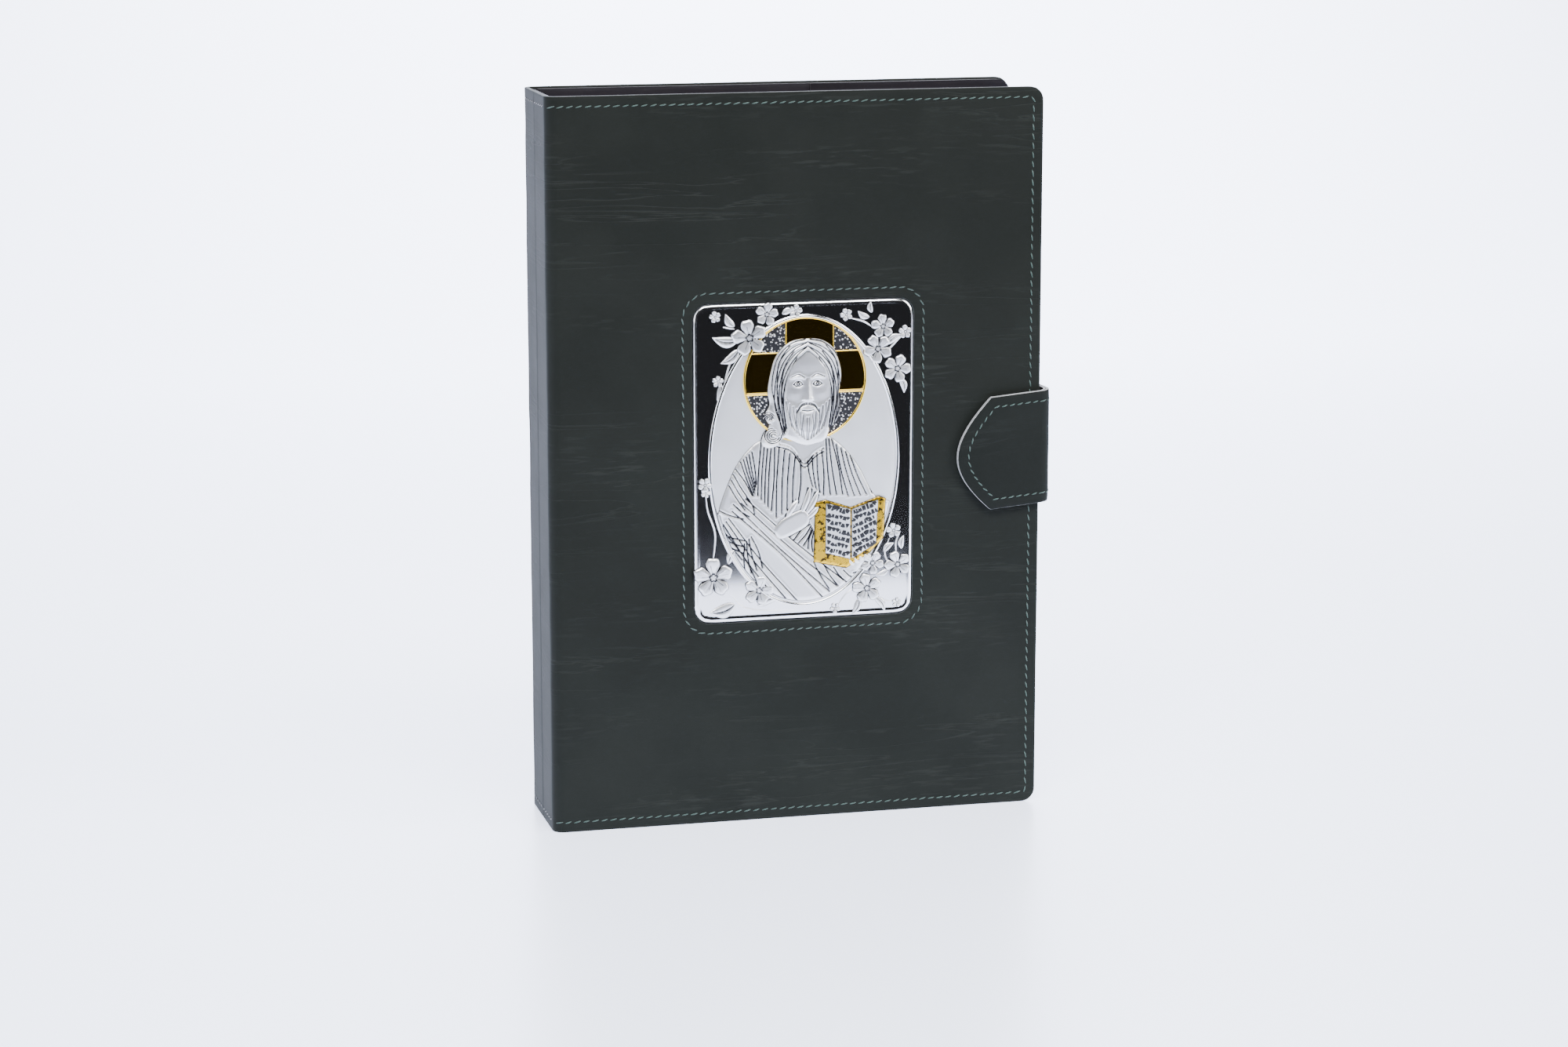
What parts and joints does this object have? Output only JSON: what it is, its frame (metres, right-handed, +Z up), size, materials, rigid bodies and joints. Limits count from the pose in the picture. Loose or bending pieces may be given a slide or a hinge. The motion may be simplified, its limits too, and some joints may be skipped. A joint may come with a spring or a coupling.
{
  "type": "prayer book",
  "caption": "Upright prayer book in a stitched leather jacket with a silver relief plate on the front and a wrap-round strap clasp.",
  "frame": {"origin": "on the surface the book stands on, under the middle of the whole object's box", "axes": "+X from the spine towards the fore-edge, +Y from the front cover towards the back cover, +Z up along the height of the cover"},
  "size_m": [0.2234, 0.0588, 0.32],
  "materials": {
    "cover_leather": "smooth green-black leather, semi-gloss, long soft wrinkles",
    "strap_leather": "smooth green-black leather with light raw edges",
    "lining": "thin black lining leather, fine grain",
    "pocket": "thin black leather pocket with stitched edges",
    "board": "plain greyboard",
    "thread": "teal polyester thread",
    "silver": "polished and satin silver relief with gilt details",
    "backing": "hard filler behind the silver sheet",
    "magnet": "nickel-plated magnet",
    "book_cloth": "dark red book cloth over board",
    "paper": "cream book paper",
    "headband": "woven red and white headband",
    "spine_cloth": "open mull cloth"
  },
  "bodies": {
    "spine": {"spine_leather": "cover_leather", "spine_board": "board", "spine_lining": "lining", "spine_thread": "thread", "front_hinge_leather": "cover_leather", "back_hinge_leather": "cover_leather", "inner_spine_strip": "book_cloth", "front_joint_cloth": "book_cloth", "back_joint_cloth": "book_cloth", "spine_cloth": "spine_cloth", "headband": "headband", "tailband": "headband"},
    "front_cover": {"front_leather": "cover_leather", "front_board": "board", "front_lining": "lining", "front_pocket": "pocket", "front_thread": "thread", "icon_plate": "silver", "plate_backing": "backing", "plate_thread": "thread", "front_magnet": "magnet", "inner_front_board": "book_cloth", "front_endpaper": "paper"},
    "back_cover": {"back_leather": "cover_leather", "back_board": "board", "back_lining": "lining", "back_pocket": "pocket", "back_thread": "thread", "strap_base": "strap_leather", "strap_base_thread": "thread", "inner_back_board": "book_cloth", "back_endpaper": "paper"},
    "strap_bridge": {"strap_back_fold": "strap_leather", "strap_bridge": "strap_leather", "strap_bridge_thread": "thread", "strap_front_fold": "strap_leather"},
    "strap_tip": {"strap_tip_leather": "strap_leather", "strap_tip_lining": "lining", "strap_tip_thread": "thread", "strap_magnet": "magnet"},
    "section_1": {"section_1": "paper"},
    "section_2": {"section_2": "paper"},
    "section_3": {"section_3": "paper"},
    "section_4": {"section_4": "paper"},
    "section_5": {"section_5": "paper"},
    "section_6": {"section_6": "paper"},
    "section_7": {"section_7": "paper"},
    "section_8": {"section_8": "paper"}
  },
  "joints": [
    {"name": "front_cover_hinge", "type": "hinge", "parent": "spine", "child": "front_cover", "pos_m": [-0.10989, -0.02449, 0.16], "axis": [0, 0, -1], "range_deg": [0, 90], "deforming": ["front_hinge_leather", "front_joint_cloth"]},
    {"name": "back_cover_hinge", "type": "hinge", "parent": "spine", "child": "back_cover", "pos_m": [-0.10989, 0.02479, 0.16], "axis": [0, 0, 1], "range_deg": [0, 90], "deforming": ["back_hinge_leather", "back_joint_cloth"]},
    {"name": "strap_bend", "type": "hinge", "parent": "back_cover", "child": "strap_bridge", "pos_m": [0.10976, 0.02726, 0.16], "axis": [0, 0, 1], "range_deg": [0, 150], "deforming": ["strap_back_fold", "strap_bridge", "strap_bridge_thread"]},
    {"name": "strap_tip_bend", "type": "hinge", "parent": "strap_bridge", "child": "strap_tip", "pos_m": [0.10976, -0.02726, 0.16], "axis": [0, 0, 1], "range_deg": [0, 90], "deforming": ["strap_front_fold", "strap_tip_leather", "strap_tip_lining", "strap_tip_thread", "strap_magnet"]},
    {"name": "section_1_turn", "type": "hinge", "parent": "spine", "child": "section_1", "pos_m": [-0.1055, -0.01723, 0.16], "axis": [0, 0, -1], "range_deg": [0, 83.7]},
    {"name": "section_2_turn", "type": "hinge", "parent": "spine", "child": "section_2", "pos_m": [-0.1055, -0.01284, 0.16], "axis": [0, 0, -1], "range_deg": [0, 70.2]},
    {"name": "section_3_turn", "type": "hinge", "parent": "spine", "child": "section_3", "pos_m": [-0.1055, -0.00845, 0.16], "axis": [0, 0, -1], "range_deg": [0, 60.3]},
    {"name": "section_4_turn", "type": "hinge", "parent": "spine", "child": "section_4", "pos_m": [-0.1055, -0.00406, 0.16], "axis": [0, 0, -1], "range_deg": [0, 51.3]},
    {"name": "section_5_turn", "type": "hinge", "parent": "spine", "child": "section_5", "pos_m": [-0.1055, 0.00436, 0.16], "axis": [0, 0, 1], "range_deg": [0, 51.3]},
    {"name": "section_6_turn", "type": "hinge", "parent": "spine", "child": "section_6", "pos_m": [-0.1055, 0.00875, 0.16], "axis": [0, 0, 1], "range_deg": [0, 60.3]},
    {"name": "section_7_turn", "type": "hinge", "parent": "spine", "child": "section_7", "pos_m": [-0.1055, 0.01314, 0.16], "axis": [0, 0, 1], "range_deg": [0, 70.2]},
    {"name": "section_8_turn", "type": "hinge", "parent": "spine", "child": "section_8", "pos_m": [-0.1055, 0.01752, 0.16], "axis": [0, 0, 1], "range_deg": [0, 83.7]}
  ],
  "couplings": [
    {"joint": "section_1_turn", "follows": "front_cover_hinge", "ratio": 0.93},
    {"joint": "section_2_turn", "follows": "front_cover_hinge", "ratio": 0.78},
    {"joint": "section_3_turn", "follows": "front_cover_hinge", "ratio": 0.67},
    {"joint": "section_4_turn", "follows": "front_cover_hinge", "ratio": 0.57},
    {"joint": "section_5_turn", "follows": "back_cover_hinge", "ratio": 0.57},
    {"joint": "section_6_turn", "follows": "back_cover_hinge", "ratio": 0.67},
    {"joint": "section_7_turn", "follows": "back_cover_hinge", "ratio": 0.78},
    {"joint": "section_8_turn", "follows": "back_cover_hinge", "ratio": 0.93}
  ]
}
